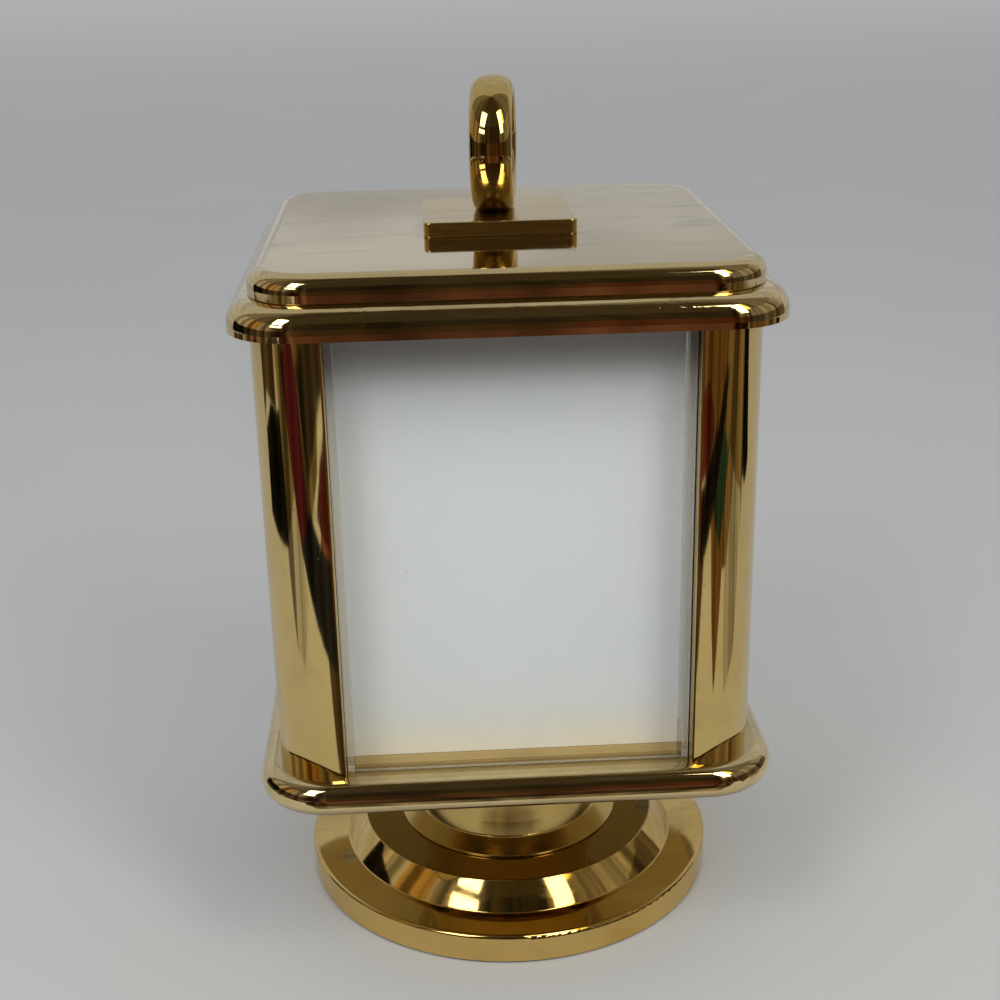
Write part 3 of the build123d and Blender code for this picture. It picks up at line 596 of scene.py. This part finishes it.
# Colour and outline of each flag that lies on the floor, as seen from above. Later ones lie on earlier ones.
FLOOR_FLAGS = (
    ("left_base", (0.130, 0.100, 0.050),
     ((-225, -48), (-600, -20), (-600, -520), (-300, -520), (-215, -260))),
    ("right_base", (0.130, 0.095, 0.045),
     ((255, 0), (600, 90), (600, -560), (330, -560), (215, -260), (205, -120))),
    ("front", (0.120, 0.050, 0.032),
     ((-170, -190), (170, -190), (330, -700), (-330, -700))),
    ("front_near", (0.050, 0.034, 0.020),
     ((-62, -92), (62, -92), (172, -195), (-172, -195))),
    ("front_edge", (0.200, 0.165, 0.110),
     ((-54, -78), (54, -78), (66, -94), (-66, -94))),
    ("left_tongue", (0.300, 0.295, 0.290),
     ((-160, -75), (-175, -50), (-250, -30), (-300, -130), (-190, -118))),
    ("right_tongue", (0.270, 0.265, 0.260),
     ((138, -62), (165, -30), (285, 10), (310, -70), (205, -92))),
    ("right_streaks", (0.165, 0.085, 0.032),
     ((127, -92), (215, -195), (330, -180), (325, -112), (210, -108))),
    ("left_block", (0.004, 0.004, 0.004),
     ((-250, -45), (-250, 85), (-340, 120), (-400, 60), (-400, -45))),
    ("left_brown", (0.060, 0.042, 0.022),
     ((-402, -10), (-402, 110), (-340, 135), (-560, 240), (-600, -10))),
    ("left_olive", (0.160, 0.125, 0.060),
     ((-300, -48), (-600, -20), (-600, -90), (-300, -72))),
    ("left_red", (0.055, 0.009, 0.014),
     ((-225, -120), (-480, -100), (-520, -240), (-400, -250), (-230, -175))),
    ("left_dark", (0.030, 0.022, 0.016),
     ((-250, -210), (-410, -255), (-380, -430), (-230, -480))),
    ("left_near", (0.012, 0.012, 0.016),
     ((-90, -150), (-235, -120), (-230, -190), (-130, -215), (-105, -215))),
    ("left_front", (0.045, 0.010, 0.008),
     ((-135, -220), (-200, -215), (-225, -480), (-300, -520), (-170, -520))),
    ("right_block", (0.005, 0.005, 0.006),
     ((285, 40), (300, 75), (600, 90), (600, 20), (300, 12))),
    ("right_olive", (0.150, 0.110, 0.055),
     ((290, 8), (600, 15), (600, -65), (310, -60))),
    ("right_brown", (0.060, 0.040, 0.020),
     ((310, -64), (600, -70), (600, -140), (330, -125))),
    ("right_green", (0.020, 0.045, 0.035),
     ((215, -130), (325, -118), (330, -178), (220, -185))),
    ("right_black", (0.008, 0.006, 0.005),
     ((120, -190), (420, -170), (420, -215), (240, -240), (150, -240))),
    ("right_red", (0.085, 0.018, 0.014),
     ((175, -245), (285, -240), (330, -320), (245, -340))),
    ("right_orange", (0.140, 0.078, 0.026),
     ((300, -220), (560, -190), (560, -330), (370, -430), (300, -330))),
    ("right_front", (0.014, 0.006, 0.005),
     ((172, -260), (240, -345), (350, -440), (330, -700), (180, -520))),
    ("rear", (0.050, 0.036, 0.020),
     ((-85, 260), (85, 260), (120, 560), (-120, 560))),
)

# Upright flags round the front: from and to azimuth in degrees, left of the camera being less than 0,
# then the colours at floor level, at mid height and overhead
HOOD_PARTS = (
    (-115, -85, (0.006, 0.005, 0.005), (0.300, 0.270, 0.220), (0.200, 0.180, 0.140)),
    (-85, -62, (0.040, 0.030, 0.018), (0.300, 0.180, 0.060), (0.120, 0.100, 0.070)),
    (-62, -40, (0.070, 0.050, 0.030), (0.230, 0.200, 0.160), (0.080, 0.070, 0.050)),
    (-40, -20, (0.022, 0.010, 0.006), (0.060, 0.046, 0.026), (0.044, 0.036, 0.022)),
    (-20, 6, (0.070, 0.040, 0.018), (0.034, 0.026, 0.014), (0.050, 0.040, 0.024)),
    (6, 24, (0.075, 0.026, 0.012), (0.030, 0.022, 0.010), (0.050, 0.038, 0.020)),
    (24, 44, (0.050, 0.024, 0.012), (0.120, 0.090, 0.052), (0.050, 0.038, 0.020)),
    (44, 66, (0.060, 0.048, 0.034), (0.230, 0.200, 0.160), (0.110, 0.095, 0.070)),
    (66, 115, (0.090, 0.070, 0.045), (0.260, 0.235, 0.190), (0.180, 0.160, 0.120)),
)
HOOD_STEP = 10                 # degrees to a flat face, at about
HOOD_EDGES = ((700, 0), (700, 250), (700, 640), (10, 1050))    # radius and height, from the floor up
HOOD_CONTRASTS = (STREAKY, STREAKY, EVEN)

# Where each softbox stands, its width and height, its watts and its colour
SOFTBOXES = (
    ("left", (-283, -392, 630), 185, 278, 0.80, (1.0, 0.99, 0.97)),
    ("left_strip", (-366, -507, 452), 216, 76, 0.25, (1.0, 0.98, 0.94)),
    ("right", (300, -425, 575), 150, 440, 0.97, (1.0, 0.98, 0.92)),
    ("right_warm", (358, -338, 640), 95, 280, 0.20, (1.0, 0.80, 0.16)),
)
LIGHT_AIM = (0, -30, 90)
WORLD_FRONT = (0.44, 0.44, 0.44)
WORLD_REAR = ((0.36, 0.37, 0.39), (0.52, 0.54, 0.58))
WORLD_BOARDS = (2, 1, 9)       # stretch that makes level boards of a noise


def stage_sheet(name, faces, material, flag=False):
    """Stage piece from its faces, each a list of corners. A flag is seen only in reflections."""
    corners, outlines = [], []
    for face in faces:
        outlines.append(tuple(range(len(corners), len(corners) + len(face))))
        corners += [Vector(corner) * MM for corner in face]
    mesh = bpy.data.meshes.new(name)
    mesh.from_pydata(corners, [], outlines)
    mesh.materials.append(material)
    sheet = new_object(name, mesh)
    if flag:
        sheet.visible_camera = False
        sheet.visible_diffuse = False
        sheet.visible_transmission = False
        sheet.visible_shadow = False


def floor_colour():
    m = Finish("floor")
    near = m.blend(m.noise(9, 3), *FLOOR_TONES)
    backwards = m.split(m.place)[1]
    tone = m.blend(m.span(backwards, *FLOOR_PALER), near, FLOOR_FAR_TONE)
    m.set(colour=tone, rough=0.8, specular=0.25)
    return m.material


def flag_colour(name, colour, contrast):
    """A flag gives off its own dim colour, so that it looks the same wherever the lamps are."""
    m = Finish(name)
    m.tree.nodes.remove(m.shader)
    x, y, _ = m.split(m.place)
    direction = m.add("ShaderNodeCombineXYZ", {0: m.maths("ARCTAN2", x, y)}).outputs[0]
    streaks = m.span(m.noise(FLAG_STREAKS, 2, place=direction), 0.36, 0.66)
    darker, lighter = (toned(colour, share) for share in contrast)
    dim = m.add("ShaderNodeEmission", {0: m.blend(streaks, darker, lighter)})
    m.wire(dim.outputs[0], m.output.inputs["Surface"])
    m.material.cycles.emission_sampling = "NONE"
    return m.material


def around(azimuth, radius, z):
    """Place at an azimuth from the front, in degrees."""
    a = math.radians(azimuth)
    return (radius * math.sin(a), -radius * math.cos(a), z)


def hood_faces(start, end, low, high):
    """Flat faces from one azimuth to another, between two edges of the hood."""
    steps = max(1, round((end - start) / HOOD_STEP))
    turns = [start + (end - start) * k / steps for k in range(steps + 1)]
    return [[around(a, *low), around(b, *low), around(b, *high), around(a, *high)]
            for a, b in zip(turns, turns[1:])]


def make_flags():
    for layer, (name, colour, outline) in enumerate(FLOOR_FLAGS):
        face = [(x, y, FLAG_LIFT + layer * FLAG_LAYER) for x, y in outline]
        stage_sheet("flag_" + name, [face], flag_colour("flag_" + name, colour, STREAKY), flag=True)
    for number, (start, end, *colours) in enumerate(HOOD_PARTS):
        for level, colour in enumerate(colours):
            name = "hood_" + str(number) + "_" + str(level)
            faces = hood_faces(start, end, *HOOD_EDGES[level:level + 2])
            stage_sheet(name, faces, flag_colour(name, colour, HOOD_CONTRASTS[level]), flag=True)


def softbox(name, place, width, height, watts, colour):
    data = bpy.data.lights.new(name, "AREA")
    data.shape = "RECTANGLE"
    data.size = width * MM
    data.size_y = height * MM
    data.energy = watts
    data.color = colour
    lamp = new_object(name, data)
    lamp.location = Vector(place) * MM
    lamp.rotation_euler = (Vector(place) - Vector(LIGHT_AIM)).to_track_quat("Z", "Y").to_euler()


def make_world():
    """A grey room in front, and a wall of paler and darker boards at the back."""
    world = bpy.data.worlds.new("room")
    world.use_nodes = True
    n = Nodes(world.node_tree, "Generated")
    boards = n.span(n.noise(1.6, 3, stretch=WORLD_BOARDS), 0.35, 0.62)
    backwards = n.split(n.place)[1]
    colour = n.blend(backwards, WORLD_FRONT, n.blend(boards, *WORLD_REAR))
    background = n.add("ShaderNodeBackground", {"Color": colour})
    n.add("ShaderNodeOutputWorld", {"Surface": background.outputs[0]})
    bpy.context.scene.world = world


def make_stage():
    far = FLOOR_REACH
    floor = [(-far, -far, 0), (far, -far, 0), (far, far, 0), (-far, far, 0)]
    stage_sheet("floor", [floor], floor_colour())
    make_flags()
    make_world()
    for name, *settings in SOFTBOXES:
        softbox("softbox_" + name, *settings)
    bpy.context.scene.view_settings.view_transform = "Standard"


make_camera()
materials = make_materials()
dress(materials)
dial_print(materials["hand_black"])
make_stage()
